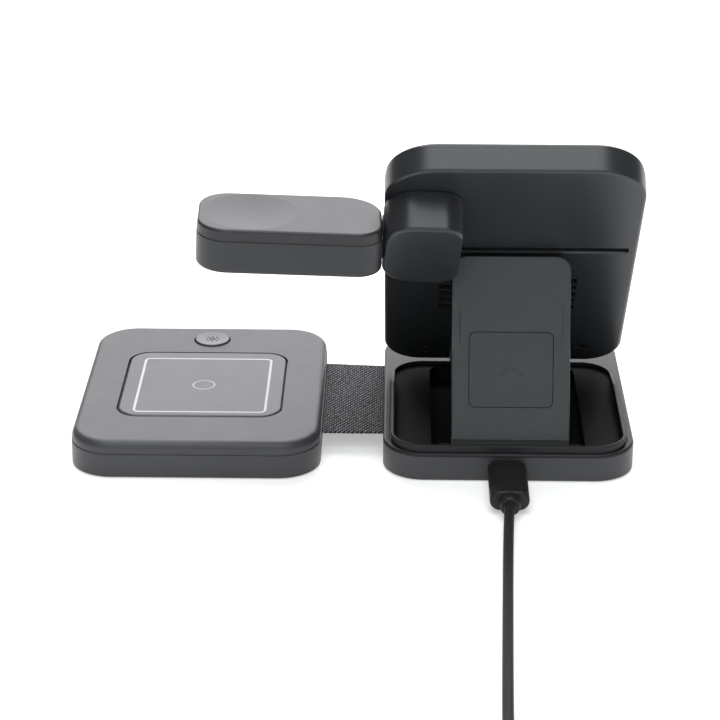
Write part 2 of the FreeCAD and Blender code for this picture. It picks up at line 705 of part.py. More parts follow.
def strut():
    foot_r = STRUT_T / 2
    blade = rounded_block(STRUT_W, STRUT_L, STRUT_T, STRUT_R, 0, STRUT_L / 2, -foot_r)
    blade = fillet_at(blade, foot_r, STRUT_EDGE_FILLET)
    blade = blade.cut(box(-STRUT_W, STRUT_W, -STRUT_L, foot_r * 2, -STRUT_T, STRUT_T))
    blade = blade.fuse(box(-STRUT_W / 2, STRUT_W / 2, 0, foot_r * 2, -foot_r, foot_r))
    blade = blade.fuse(rod(foot_r, -STRUT_W / 2, STRUT_W / 2, 0, 0))
    blade = blade.cut(rod(STRUT_PIN_R + PIN_CLEAR, -STRUT_W, STRUT_W, 0, 0))
    pocket_w = PANEL_W + 2 * PANEL_GAP
    pocket_l = PANEL_L + 2 * PANEL_GAP
    pocket_z = foot_r - PANEL_T
    pocket_r = PANEL_R + PANEL_GAP
    blade = blade.cut(rounded_block(pocket_w, pocket_l, STRUT_T, pocket_r, 0, PANEL_MID, pocket_z))
    blade = blade.cut(box(-NOTCH_HALF_W, NOTCH_HALF_W, -STRUT_T, NOTCH_L, -STRUT_T, STRUT_T))
    step_z = foot_r - FOOT_STEP_DEPTH
    blade = blade.cut(box(-STRUT_W, STRUT_W, FOOT_STEP_LOW, FOOT_STEP_HIGH, step_z, STRUT_T))
    for side in (-1, 1):
        outer = side * (STRUT_W / 2 + SCALLOP_W)
        inner = side * (STRUT_W / 2 - SCALLOP_W)
        scoop_z = foot_r + SCALLOP_R - SCALLOP_DEPTH
        blade = blade.cut(rod(SCALLOP_R, min(outer, inner), max(outer, inner), SCALLOP_MID, scoop_z))
    return blade


def strut_panel():
    top = STRUT_T / 2
    panel = rounded_block(PANEL_W, PANEL_L, PANEL_T, PANEL_R, 0, PANEL_MID, top - PANEL_T)
    low = PANEL_MID - CHEVRON_H / 2
    chevron = Part.Face(Part.makePolygon([
        V(-CHEVRON_HALF_W, low, top - CHEVRON_DEPTH),
        V(0, low + CHEVRON_H, top - CHEVRON_DEPTH),
        V(CHEVRON_HALF_W, low, top - CHEVRON_DEPTH),
        V(CHEVRON_HALF_W, low - CHEVRON_T, top - CHEVRON_DEPTH),
        V(0, low + CHEVRON_H - CHEVRON_T, top - CHEVRON_DEPTH),
        V(-CHEVRON_HALF_W, low - CHEVRON_T, top - CHEVRON_DEPTH),
        V(-CHEVRON_HALF_W, low, top - CHEVRON_DEPTH)]))
    return panel.cut(chevron.extrude(V(0, 0, 2 * CHEVRON_DEPTH)))


# Knuckle and watch arm, in their own frames

def knuckle():
    corners = (KNUCKLE_RIGHT_R, KNUCKLE_R, KNUCKLE_R, KNUCKLE_RIGHT_R)
    body = rounded_block(KNUCKLE_W, KNUCKLE_L, KNUCKLE_H, corners, 0, 0, KNUCKLE_GAP)
    body = fillet_at(body, KNUCKLE_GAP + KNUCKLE_H, KNUCKLE_FILLET)
    body = body.cut(post(STUD_R + PIN_PRESS, STUD_IN_KNUCKLE, 0, 0, KNUCKLE_GAP))
    pin_room = rod(ARM_PIN_R + PIN_PRESS, -KNUCKLE_W, -KNUCKLE_W / 2 + ARM_PIN_IN_KNUCKLE, 0, ARM_AXIS_UP)
    return body.cut(pin_room)


def swivel_stud():
    low = -PLATE_BACK_T - CLIP_CLEAR - CLIP_T
    return post(STUD_R, KNUCKLE_GAP + STUD_IN_KNUCKLE - low, 0, 0, low)


def swivel_clip():
    return ring(CLIP_R, STUD_R, CLIP_T, 0, 0, -PLATE_BACK_T - CLIP_CLEAR - CLIP_T)


def arm_pin():
    return rod(ARM_PIN_R, ARM_RIGHT - ARM_PIN_IN_ARM, -KNUCKLE_W / 2 + ARM_PIN_IN_KNUCKLE, 0, ARM_AXIS_UP)


def arm_corners(inset):
    """The arm's four corner radii: the one beside the plate is larger, to swing clear of it."""
    far = ARM_R - inset
    return (ARM_BACK_R - inset, far, far, ARM_FRONT_R - inset)


def arm_case():
    mid = (ARM_LEFT + ARM_RIGHT) / 2
    height = ARM_H - ARM_COVER_T
    case = rounded_block(ARM_L, ARM_W, height, arm_corners(0.0), mid, 0, -ARM_BELOW)
    case = fillet_at(case, -ARM_BELOW, ARM_BOTTOM_FILLET)
    room_l = ARM_L - ARM_WALL - ARM_HINGE_BLOCK
    room_x = ARM_LEFT + ARM_WALL + room_l / 2
    room_w = ARM_W - 2 * ARM_WALL
    room_z = -ARM_BELOW + ARM_FLOOR
    room = rounded_block(room_l, room_w, height, ARM_R - ARM_WALL, room_x, 0, room_z)
    bore = rod(ARM_PIN_R + PIN_CLEAR, ARM_RIGHT - ARM_PIN_IN_ARM - PIN_CLEAR, 0, 0, 0)
    return case.cut(room).cut(bore)


def arm_cover():
    mid = (ARM_LEFT + ARM_RIGHT) / 2
    length = ARM_L - 2 * SEAM_STEP
    width = ARM_W - 2 * SEAM_STEP
    cover = rounded_block(length, width, ARM_COVER_T, arm_corners(SEAM_STEP), mid, 0, ARM_SEAM)
    cover = fillet_at(cover, ARM_ABOVE, ARM_TOP_FILLET)
    ball_r = (DISH_R ** 2 + DISH_DEPTH ** 2) / (2 * DISH_DEPTH)
    ball = Part.makeSphere(ball_r, V(DISH_X, 0, ARM_ABOVE + ball_r - DISH_DEPTH))
    return cover.cut(ball)


def arm_coil():
    return ring(ARM_COIL_OUT_R, ARM_COIL_IN_R, ARM_COIL_T, DISH_X, 0, ARM_SEAM - ARM_COIL_T)


def arm_shield():
    return post(ARM_SHIELD_R, SHIELD_T, DISH_X, 0, ARM_SEAM - ARM_COIL_T - SHIELD_T)


def arm_magnet():
    return post(ARM_MAGNET_R, ARM_COIL_T, DISH_X, 0, ARM_SEAM - ARM_COIL_T)


# Earbud pad

def pad_case():
    height = PAD_SEAM_Z - CASE_BOTTOM_Z
    case = rounded_block(BODY_W, BODY_D, height, PAD_R, PAD_X, 0, CASE_BOTTOM_Z)
    case = fillet_at(case, CASE_BOTTOM_Z, CASE_BOTTOM_FILLET)
    case = case.cut(case_room(height, PAD_R, PAD_X))
    case = case.cut(sole(SOLE_PROUD, SOLE_SEAT, PAD_R, PAD_X))
    case = case.cut(strap_slot(PAD_X + BODY_W / 2))
    for sx in (-1, 1):
        case = case.fuse(post(POST_R, BOARD_LIFT, PAD_X + sx * PAD_BOARD_W / 3, BUTTON_Y, CASE_FLOOR_Z))
    return case


def pad_cover():
    height = PAD_TOP_Z - PAD_SEAM_Z
    width = BODY_W - 2 * SEAM_STEP
    depth = BODY_D - 2 * SEAM_STEP
    cover = rounded_block(width, depth, height, PAD_R - SEAM_STEP, PAD_X, 0, PAD_SEAM_Z)
    cover = fillet_at(cover, PAD_TOP_Z, PAD_TOP_FILLET)
    inset = 2 * PAD_TOP_FILLET
    room_h = height - PAD_SKIN_T
    room_r = PAD_R - PAD_TOP_FILLET
    cover = cover.cut(rounded_block(width - inset, depth - inset, room_h, room_r, PAD_X, 0, PAD_SEAM_Z))
    seat_w = PAD_PLATE_W + 2 * PAD_PLATE_GAP
    seat_z = PAD_TOP_Z - PAD_PLATE_SEAT
    shelf_w = seat_w + 2 * PAD_SEAT_FLOOR
    shelf_z = seat_z - PAD_SEAT_FLOOR
    shelf = rounded_block(shelf_w, shelf_w, PAD_PLATE_SEAT, PAD_PLATE_R, PAD_X, PAD_PLATE_Y, shelf_z)
    cover = cover.fuse(shelf)
    seat_r = PAD_PLATE_R + PAD_PLATE_GAP
    cover = cover.cut(rounded_block(seat_w, seat_w, PAD_TOP_Z, seat_r, PAD_X, PAD_PLATE_Y, seat_z))
    return cover.cut(post(BUTTON_R + BUTTON_GAP, PAD_TOP_Z, PAD_X, BUTTON_Y, 0))


def pad_plate():
    top = PAD_TOP_Z - PAD_PLATE_SEAT + PAD_PLATE_T
    low = top - PAD_PLATE_T
    plate = rounded_block(PAD_PLATE_W, PAD_PLATE_W, PAD_PLATE_T, PAD_PLATE_R, PAD_X, PAD_PLATE_Y, low)
    return fillet_at(plate, top, PAD_PLATE_FILLET)


def pad_coil_top():
    return PAD_TOP_Z - PAD_PLATE_SEAT - PAD_SEAT_FLOOR


def pad_coil():
    low = pad_coil_top() - PLATE_COIL_T
    return ring(PAD_COIL_OUT_R, PAD_COIL_IN_R, PLATE_COIL_T, PAD_X, PAD_PLATE_Y, low)


def pad_shield():
    return post(PAD_SHIELD_R, SHIELD_T, PAD_X, PAD_PLATE_Y, pad_coil_top() - PLATE_COIL_T - SHIELD_T)


def pad_board():
    low = CASE_FLOOR_Z + BOARD_LIFT
    return rounded_block(PAD_BOARD_W, PAD_BOARD_D, BOARD_T, BOARD_CORNER, PAD_X, BUTTON_Y, low)


def lamp_button():
    top = PAD_TOP_Z + BUTTON_PROUD
    flange_top = PAD_TOP_Z - PAD_SKIN_T - BUTTON_LIFT
    cap = post(BUTTON_R, top - flange_top + BUTTON_FLANGE_T, PAD_X, BUTTON_Y, flange_top - BUTTON_FLANGE_T)
    cap = fillet_at(cap, top, BUTTON_DISH)
    dish_r = BUTTON_R - 2 * BUTTON_DISH
    ball_r = (dish_r ** 2 + BUTTON_DISH ** 2) / (2 * BUTTON_DISH)
    cap = cap.cut(Part.makeSphere(ball_r, V(PAD_X, BUTTON_Y, top + ball_r - BUTTON_DISH)))
    flange_z = flange_top - BUTTON_FLANGE_T
    return cap.fuse(post(BUTTON_R + BUTTON_FLANGE, BUTTON_FLANGE_T, PAD_X, BUTTON_Y, flange_z))


def pad_switch():
    low = CASE_FLOOR_Z + BOARD_LIFT + BOARD_T
    high = PAD_TOP_Z - PAD_SKIN_T - BUTTON_LIFT - BUTTON_FLANGE_T - BUTTON_TRAVEL - SWITCH_SLACK
    half = SWITCH_W / 2
    return box(PAD_X - half, PAD_X + half, BUTTON_Y - half, BUTTON_Y + half, low, high)


# Strap and its clamps

def strap():
    low = PAD_X + BODY_W / 2 - STRAP_TUCK
    high = -BODY_W / 2 + STRAP_TUCK
    half = STRAP_W / 2
    return box(low, high, STRAP_Y - half, STRAP_Y + half, STRAP_BOTTOM_Z, STRAP_TOP_Z)


def strap_clamp(x0):
    half = STRAP_W / 2
    return box(x0, x0 + CLAMP_W, STRAP_Y - half, STRAP_Y + half, CASE_FLOOR_Z, STRAP_BOTTOM_Z)


# Lead

def plug_tip():
    start = PLUG_FACE_Y
    shell = stadium(TIP_W, TIP_H, TIP_L, start, PORT_Z)
    inside_w = TIP_W - 2 * TIP_WALL
    inside_h = TIP_H - 2 * TIP_WALL
    return shell.cut(stadium(inside_w, inside_h, TIP_L - TIP_WALL, start + TIP_WALL, PORT_Z))


def plug_body():
    body = stadium(PLUG_W, PLUG_H, PLUG_L, PLUG_FACE_Y - PLUG_L, PORT_Z)
    ends = [e for e in body.Edges if e.BoundBox.YLength < 1e-4]
    return body.makeFillet(PLUG_FILLET, ends)


def boot(y):
    """Stepped strain relief along -Y from y, ending where the cable starts."""
    big = Part.makeCylinder(BOOT_BIG_R, BOOT_STEP_L, V(PORT_X, y - BOOT_STEP_L, PORT_Z), Y_AXIS)
    far = [e for e in big.Edges if e.BoundBox.YMax < y - BOOT_STEP_L + BOOT_LIP]
    big = big.makeFillet(BOOT_FILLET, far)
    end_r = CORD_R + BOOT_LIP
    small = Part.makeCone(end_r, BOOT_SMALL_R, BOOT_L - BOOT_STEP_L, V(PORT_X, y - BOOT_L, PORT_Z), Y_AXIS)
    return big.fuse(small)


# The cable's route: out of the boot, down to the table, straight towards the viewer, then into the coil
CORD_POINTS = [
    V(PORT_X, BOOT_END_Y, PORT_Z),
    V(PORT_X, -90.0, PORT_Z),
    V(-1.8, -107.0, 1.9),
    V(-3.3, -134.0, 1.55),
    V(-4.6, -160.0, 1.62),
    V(-5.8, -184.0, 1.55),
    V(-6.3, -206.0, 1.75),
    V(COIL_X + COIL_ENTRY_R, COIL_Y, COIL_ENTRY_Z),
]

# The free end: out of the coil and down to the far plug
TAIL_POINTS = [
    V(COIL_X, COIL_Y - COIL_EXIT_R, COIL_Z),
    V(COIL_X - 9.0, COIL_Y - COIL_EXIT_R - 0.1, 4.7),
    V(COIL_X - 18.0, COIL_Y - COIL_EXIT_R - 0.4, FAR_PLUG_Z),
    V(COIL_X - 27.0, COIL_Y - COIL_EXIT_R - 0.4, FAR_PLUG_Z),
]


def tube(points, radius):
    """Straight runs joined by tangent arcs, each arc as large as its shorter run allows."""
    edges = []
    start = points[0]
    for i in range(1, len(points) - 1):
        before, corner, after = points[i - 1], points[i], points[i + 1]
        back = (before - corner)
        ahead = (after - corner)
        run = min(back.Length, ahead.Length)
        reach = 0.45 * run
        turn = math.pi - back.getAngle(ahead)
        arc_r = reach / math.tan(turn / 2)
        print("cord corner %d turns %.1f deg, radius %.1f" % (i, math.degrees(turn), arc_r))
        back.normalize()
        ahead.normalize()
        enter = corner + back * reach
        leave = corner + ahead * reach
        bisector = (back + ahead)
        bisector.normalize()
        middle = corner + bisector * (arc_r / math.cos(turn / 2) - arc_r)
        edges.append(Part.makeLine(start, enter))
        edges.append(Part.Arc(enter, middle, leave).toShape())
        start = leave
    edges.append(Part.makeLine(start, points[-1]))
    path = Part.Wire(edges)
    profile = Part.Wire(Part.makeCircle(radius, points[0], points[1] - points[0]))
    pipe = path.makePipeShell([profile], True, False)
    straight = path.Length * math.pi * radius ** 2
    print("cord length %.1f, volume %.1f against %.1f" % (path.Length, pipe.Volume, straight))
    return pipe


def coil_roll(radius):
    return Part.makeTorus(COIL_MID_R, radius, V(COIL_X, COIL_Y, COIL_Z), Z_AXIS)


def cord_tie():
    """Tape round the coil's turns at one side."""
    reach = COIL_MID_R + 2 * COIL_ROLL_R
    wedge = box(0, reach, -TIE_W / 2, TIE_W / 2, -COIL_Z, 2 * COIL_Z)
    wedge.rotate(V(0, 0, 0), Z_AXIS, TIE_ANGLE)
    wedge.translate(V(COIL_X, COIL_Y, 0))
    return coil_roll(COIL_ROLL_R + TIE_T).cut(coil_roll(COIL_ROLL_R)).common(wedge)


def place_far(shape):
    """From the near plug's place to the free end, turned to point along -X."""
    shape.translate(V(-PORT_X, -BOOT_END_Y, -PORT_Z))
    shape.rotate(V(0, 0, 0), Z_AXIS, 90)
    shape.translate(TAIL_POINTS[-1])
    return shape


# Build and save every piece

save("base_case", base_case())
save("base_cover", base_cover())
save("base_foot", sole(0.0, SOLE_PROUD + SOLE_SEAT, BODY_R, 0.0))
save("base_board", base_board())
save("usb_socket", usb_socket())
save("plate_pin", rod(PIN_R, -PIN_HALF_L, PIN_HALF_L, HINGE_Y, HINGE_Z))
pin_out = STRUT_W / 2 + STRUT_LUG_GAP + STRUT_LUG_T
pin_in = STRUT_W / 2 - STRUT_PIN_IN
save("strut_pin_left", rod(STRUT_PIN_R, STRUT_X - pin_out, STRUT_X - pin_in, STRUT_PIN_Y, STRUT_PIN_Z))
save("strut_pin_right", rod(STRUT_PIN_R, STRUT_X + pin_in, STRUT_X + pin_out, STRUT_PIN_Y, STRUT_PIN_Z))

save("plate_rear", place_on_plate(plate_rear()))
save("plate_front", place_on_plate(plate_front()))
save("plate_magnets", place_on_plate(plate_magnets()))
save("plate_coil", place_on_plate(plate_coil()))
save("plate_shield", place_on_plate(plate_shield()))
save("plate_board", place_on_plate(plate_board()))
save("plate_screw_left", place_on_plate(plate_screw(-SCREW_X)))
save("plate_screw_right", place_on_plate(plate_screw(SCREW_X)))

save("strut", place_on_strut(strut()))
save("strut_panel", place_on_strut(strut_panel()))

save("knuckle", place_on_knuckle(knuckle()))
save("swivel_stud", place_on_knuckle(swivel_stud()))
save("swivel_clip", place_on_knuckle(swivel_clip()))
save("arm_pin", place_on_knuckle(arm_pin()))
save("arm_case", place_on_arm(arm_case()))
save("arm_cover", place_on_arm(arm_cover()))
save("arm_coil", place_on_arm(arm_coil()))
save("arm_shield", place_on_arm(arm_shield()))
save("arm_magnet", place_on_arm(arm_magnet()))

save("pad_case", pad_case())
save("pad_cover", pad_cover())
save("pad_plate", pad_plate())
save("pad_coil", pad_coil())
save("pad_shield", pad_shield())
save("pad_board", pad_board())
save("pad_switch", pad_switch())
save("pad_foot", sole(0.0, SOLE_PROUD + SOLE_SEAT, PAD_R, PAD_X))
save("lamp_button", lamp_button())

save("strap", strap())
save("strap_clamp_base", strap_clamp(-BODY_W / 2 + CASE_WALL + CLAMP_SETBACK))
save("strap_clamp_pad", strap_clamp(PAD_X + BODY_W / 2 - CASE_WALL - CLAMP_SETBACK - CLAMP_W))

save("plug_tip", plug_tip())
save("plug_body", plug_body())
save("plug_boot", boot(PLUG_FACE_Y - PLUG_L))
save("cord", tube(CORD_POINTS, CORD_R))
save("cord_coil", coil_roll(COIL_ROLL_R))
save("cord_tie", cord_tie())
save("cord_tail", tube(TAIL_POINTS, CORD_R))
save("far_boot", place_far(boot(PLUG_FACE_Y - PLUG_L)))
save("far_plug_body", place_far(plug_body()))
save("far_plug_tip", place_far(plug_tip()))
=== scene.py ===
import json
import math

import bmesh
import bpy
from mathutils import Matrix, Vector


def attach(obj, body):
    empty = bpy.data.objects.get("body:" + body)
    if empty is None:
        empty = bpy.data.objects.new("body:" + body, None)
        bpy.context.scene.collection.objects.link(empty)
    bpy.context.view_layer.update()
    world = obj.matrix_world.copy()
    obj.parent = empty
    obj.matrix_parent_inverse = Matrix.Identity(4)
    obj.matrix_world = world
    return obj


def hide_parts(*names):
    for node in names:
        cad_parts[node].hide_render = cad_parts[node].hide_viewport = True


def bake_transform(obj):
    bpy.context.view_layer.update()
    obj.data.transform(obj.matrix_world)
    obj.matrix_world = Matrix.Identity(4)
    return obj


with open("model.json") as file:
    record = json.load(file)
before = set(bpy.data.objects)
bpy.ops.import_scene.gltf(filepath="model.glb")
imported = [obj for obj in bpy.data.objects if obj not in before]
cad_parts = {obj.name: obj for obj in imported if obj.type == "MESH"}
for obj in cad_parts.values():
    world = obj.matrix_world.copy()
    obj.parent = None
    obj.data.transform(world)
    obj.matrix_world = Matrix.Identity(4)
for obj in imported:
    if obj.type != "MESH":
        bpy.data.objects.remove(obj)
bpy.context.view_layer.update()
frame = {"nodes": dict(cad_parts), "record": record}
nodes = frame["nodes"]
scene = bpy.context.scene
scene.view_settings.view_transform = "Standard"

# The part's sizes and places are named in millimetres, and MM takes them to Blender's metres
MM = 0.001


# Objects and meshes

def link(obj):
    scene.collection.objects.link(obj)
    return obj


def mesh_object(name, bm, smooth=True):
    """Turns a finished bmesh into an object of the scene."""
    mesh = bpy.data.meshes.new(name)
    bm.to_mesh(mesh)
    bm.free()
    for polygon in mesh.polygons:
        polygon.use_smooth = smooth
    return link(bpy.data.objects.new(name, mesh))


def bridge(bm, rings):
    """Spans each ring of vertices and the next with quads."""
    for low, high in zip(rings, rings[1:]):
        for i in range(len(low)):
            j = (i + 1) % len(low)
            bm.faces.new((low[i], low[j], high[j], high[i]))


def circle_loop(radius, steps):
    """Points round a circle, anticlockwise."""
    angles = [2 * math.pi * i / steps for i in range(steps)]
    return [(radius * math.cos(a), radius * math.sin(a)) for a in angles]


def smoothstep(a, b, x):
    t = max(0.0, min(1.0, (x - a) / (b - a)))
    return t * t * (3 - 2 * t)


# Camera, fitted to the photograph

IMAGE_PX = 720.0
SENSOR = 36.0
CAM_F_PX = 2397.6
CAM_POS = Vector((-34.39, -701.70, 316.09)) * MM
CAM_AZ = math.radians(-0.943)
CAM_EL = math.radians(22.892)
CAM_ROLL = math.radians(0.122)
CLIP_NEAR_M, CLIP_FAR_M = 0.01, 50.0


def add_camera():
    forward = Vector((
        math.sin(CAM_AZ) * math.cos(CAM_EL),
        math.cos(CAM_AZ) * math.cos(CAM_EL),
        -math.sin(CAM_EL),
    ))
    right = Vector((math.cos(CAM_AZ), -math.sin(CAM_AZ), 0.0))
    up = right.cross(forward)
    rolled_right = right * math.cos(CAM_ROLL) + up * math.sin(CAM_ROLL)
    rolled_up = up * math.cos(CAM_ROLL) - right * math.sin(CAM_ROLL)
    data = bpy.data.cameras.new("camera")
    data.sensor_width = SENSOR
    data.sensor_height = SENSOR
    data.sensor_fit = "HORIZONTAL"
    data.lens = CAM_F_PX / IMAGE_PX * SENSOR
    data.clip_start = CLIP_NEAR_M
    data.clip_end = CLIP_FAR_M
    camera = link(bpy.data.objects.new("camera", data))
    turn = Matrix((rolled_right, rolled_up, -forward)).transposed()
    camera.matrix_world = Matrix.Translation(CAM_POS) @ turn.to_4x4()
    scene.camera = camera


add_camera()


# Shader nodes

# Most values of a noise texture lie between these two
NOISE_LOW, NOISE_HIGH = 0.3, 0.7
WHITE = (1.0, 1.0, 1.0)


def new_material(name):
    material = bpy.data.materials.new(name)
    material.use_nodes = True
    tree = material.node_tree
    return material, tree, tree.nodes["Principled BSDF"]


def object_coords(tree):
    return tree.nodes.new("ShaderNodeTexCoord").outputs["Object"]


def feed(tree, socket, value):
    """Gives a socket a number of its own or the output of another node."""
    if isinstance(value, float):
        socket.default_value = value
    else:
        tree.links.new(value, socket)


def math_node(tree, operation, *values):
    node = tree.nodes.new("ShaderNodeMath")
    node.operation = operation
    for value, socket in zip(values, node.inputs):
        feed(tree, socket, value)
    return node.outputs["Value"]


def dot_product(tree, vector, weights):
    node = tree.nodes.new("ShaderNodeVectorMath")
    node.operation = "DOT_PRODUCT"
    node.inputs[1].default_value = weights
    tree.links.new(vector, node.inputs[0])
    return node.outputs["Value"]


def noise(tree, coords, scale, detail=3.0, rough=0.55):
    node = tree.nodes.new("ShaderNodeTexNoise")
    node.inputs["Scale"].default_value = scale
    node.inputs["Detail"].default_value = detail
    node.inputs["Roughness"].default_value = rough
    tree.links.new(coords, node.inputs["Vector"])
    return node.outputs["Fac"]


def map_range(tree, value, source, target, smooth=False):
    """Takes the span source to the span target, in a straight line or a smooth step."""
    node = tree.nodes.new("ShaderNodeMapRange")
    if smooth:
        node.interpolation_type = "SMOOTHSTEP"
    for socket, limit in zip(("From Min", "From Max", "To Min", "To Max"), (*source, *target)):
        node.inputs[socket].default_value = limit
    tree.links.new(value, node.inputs["Value"])
    return node.outputs["Result"]


def ramp(tree, value, low, high, color_low, color_high):
    node = tree.nodes.new("ShaderNodeValToRGB")
    node.color_ramp.elements[0].position = low
    node.color_ramp.elements[0].color = (*color_low, 1)
    node.color_ramp.elements[1].position = high
    node.color_ramp.elements[1].color = (*color_high, 1)
    tree.links.new(value, node.inputs["Fac"])
    return node.outputs["Color"]


def scaled(color, k):
    return tuple(c * k for c in color)


def mottle(tree, value, color, low, high):
    """A colour that noise takes from low to high times itself."""
    return ramp(tree, value, NOISE_LOW, NOISE_HIGH, scaled(color, low), scaled(color, high))


def mix_color(tree, factor, first, second, blend="MIX"):
    node = tree.nodes.new("ShaderNodeMix")
    node.data_type = "RGBA"
    node.blend_type = blend
    feed(tree, node.inputs["Factor"], factor)
    tree.links.new(first, node.inputs["A"])
    tree.links.new(second, node.inputs["B"])
    return node.outputs["Result"]


def uneven_gloss(tree, bsdf, value, rough, spread):
    """Roughness that noise takes from below to above its middle value."""
    limits = (rough - spread, rough + spread)
    result = map_range(tree, value, (NOISE_LOW, NOISE_HIGH), limits)
    tree.links.new(result, bsdf.inputs["Roughness"])


def bump(tree, bsdf, height, distance, strength):
    node = tree.nodes.new("ShaderNodeBump")
    node.inputs["Distance"].default_value = distance
    node.inputs["Strength"].default_value = strength
    tree.links.new(height, node.inputs["Height"])
    tree.links.new(node.outputs["Normal"], bsdf.inputs["Normal"])


# Kinds of surface; scales are those of noise textures and depths are in metres

CLOUD_SCALE, CLOUD_DETAIL = 55.0, 4.0
GRAIN_SCALE, GRAIN_DETAIL = 3800.0, 2.0
GRAIN_DEPTH, GRAIN_BUMP = 0.00003, 0.35
SPECK_HIGH = 0.75
SPECK_DARK, SPECK_LIGHT = 0.93, 1.08
PLASTIC_GLOSS_SCALE, PLASTIC_GLOSS_SPREAD = 140.0, 0.015

TRAY_HALF = 35.2 * MM
TRAY_Y = -9.9 * MM
# Heights over which the sunk tray's painted shade and its matte finish fade out towards the satin deck
TRAY_SHADE_MATTE_Z, TRAY_SATIN_Z = 7.4 * MM, 8.8 * MM
DECK_SPECULAR = 0.22

STREAK_SCALE = (900.0, 900.0, 900.0)
STREAK_DEPTH, STREAK_BUMP = 0.00002, 0.3
METAL_GLOSS_SPREAD = 0.06

RUBBER_CLOUD_SCALE = 120.0
RUBBER_DEPTH, RUBBER_BUMP = 0.00005, 0.4
RUBBER_SPECULAR = 0.35
RUBBER_GLOSS_SPREAD = 0.06


def plastic(name, color, rough, spread=0.05, grain=GRAIN_SCALE, depth=GRAIN_DEPTH, specular=0.5):
    """Spark-eroded moulded plastic: fine grain, slight cloudiness and uneven gloss."""
    material, tree, bsdf = new_material(name)
    coords = object_coords(tree)
    cloud = noise(tree, coords, CLOUD_SCALE, CLOUD_DETAIL)
    fine = noise(tree, coords, grain, GRAIN_DETAIL)
    clouded = mottle(tree, cloud, color, 1 - spread, 1 + spread)
    specks = (scaled(WHITE, SPECK_DARK), scaled(WHITE, SPECK_LIGHT))
    speckled = ramp(tree, fine, NOISE_LOW, SPECK_HIGH, *specks)
    tree.links.new(mix_color(tree, 1.0, clouded, speckled, "MULTIPLY"), bsdf.inputs["Base Color"])
    uneven_gloss(tree, bsdf, noise(tree, coords, PLASTIC_GLOSS_SCALE), rough, PLASTIC_GLOSS_SPREAD)
    bsdf.inputs["Specular IOR Level"].default_value = specular
    bump(tree, bsdf, fine, depth, GRAIN_BUMP)
    return material


def deck_plastic(name, color, dark, rough, matte):
    """Satin deck whose sunk tray, told by its place in the cover, has a coarse matte finish and a painted
    shade that darkens its colour.
    """
    material, tree, bsdf = new_material(name)
    coords = object_coords(tree)
    place = tree.nodes.new("ShaderNodeSeparateXYZ")
    tree.links.new(coords, place.inputs["Vector"])
    from_middle = math_node(tree, "SUBTRACT", place.outputs["Y"], TRAY_Y)
    inside_x = math_node(tree, "LESS_THAN", math_node(tree, "ABSOLUTE", place.outputs["X"]), TRAY_HALF)
    inside_y = math_node(tree, "LESS_THAN", math_node(tree, "ABSOLUTE", from_middle), TRAY_HALF)
    low = map_range(tree, place.outputs["Z"], (TRAY_SHADE_MATTE_Z, TRAY_SATIN_Z), (1.0, 0.0), smooth=True)
    tray = math_node(tree, "MULTIPLY", math_node(tree, "MULTIPLY", inside_x, inside_y), low)
    fine = noise(tree, coords, GRAIN_SCALE, GRAIN_DETAIL)
    satin = mottle(tree, noise(tree, coords, CLOUD_SCALE, CLOUD_DETAIL), color, 0.95, 1.05)
    # Painted shade: inside the sunk tray the colour turns far darker than the deck
    tray_shade = mottle(tree, fine, dark, 0.8, 1.2)
    tree.links.new(mix_color(tree, tray, satin, tray_shade), bsdf.inputs["Base Color"])
    gloss = map_range(tree, tray, (0.0, 1.0), (rough, matte))
    tree.links.new(gloss, bsdf.inputs["Roughness"])
    bsdf.inputs["Specular IOR Level"].default_value = DECK_SPECULAR
    bump(tree, bsdf, fine, GRAIN_DEPTH, GRAIN_BUMP)
    return material


def seam_highlight(material, normal, offset, width, gain):
    """Paints a highlight: lightens a thin strip along a seam, the line where the surface meets a plane."""
    tree = material.node_tree
    bsdf = tree.nodes["Principled BSDF"]
    color = bsdf.inputs["Base Color"].links[0].from_socket
    along_normal = dot_product(tree, object_coords(tree), normal)
    away = math_node(tree, "ABSOLUTE", math_node(tree, "SUBTRACT", along_normal, offset))
    fade = map_range(tree, away, (0.5 * width, width), (gain, 1.0), smooth=True)
    lift = tree.nodes.new("ShaderNodeVectorMath")
    lift.operation = "SCALE"
    tree.links.new(color, lift.inputs[0])
    tree.links.new(fade, lift.inputs["Scale"])
    tree.links.new(lift.outputs["Vector"], bsdf.inputs["Base Color"])


def metal(name, color, rough, scale=STREAK_SCALE):
    """Turned or stamped metal with faint streaks."""
    material, tree, bsdf = new_material(name)
    mapping = tree.nodes.new("ShaderNodeMapping")
    mapping.inputs["Scale"].default_value = scale
    tree.links.new(object_coords(tree), mapping.inputs["Vector"])
    streak = noise(tree, mapping.outputs["Vector"], 1.0)
    tree.links.new(mottle(tree, streak, color, 0.88, 1.08), bsdf.inputs["Base Color"])
    bsdf.inputs["Metallic"].default_value = 1.0
    uneven_gloss(tree, bsdf, streak, rough, METAL_GLOSS_SPREAD)
    bump(tree, bsdf, streak, STREAK_DEPTH, STREAK_BUMP)
    return material


def rubber(name, color, rough=0.75, grain=2600.0):
    """Dull rubber or cable jacket with a fine grain."""
    material, tree, bsdf = new_material(name)
    coords = object_coords(tree)
    fine = noise(tree, coords, grain)
    cloud = noise(tree, coords, RUBBER_CLOUD_SCALE)
    tree.links.new(mottle(tree, cloud, color, 0.88, 1.12), bsdf.inputs["Base Color"])
    uneven_gloss(tree, bsdf, fine, rough, RUBBER_GLOSS_SPREAD)
    bsdf.inputs["Specular IOR Level"].default_value = RUBBER_SPECULAR
    bump(tree, bsdf, fine, RUBBER_DEPTH, RUBBER_BUMP)
    return material


# Materials of the solids

COARSE = {"spread": 0.09, "grain": 1700.0, "depth": 0.00012}
INK_FINISH = {"spread": 0.03, "grain": 5200.0, "depth": 0.00001}
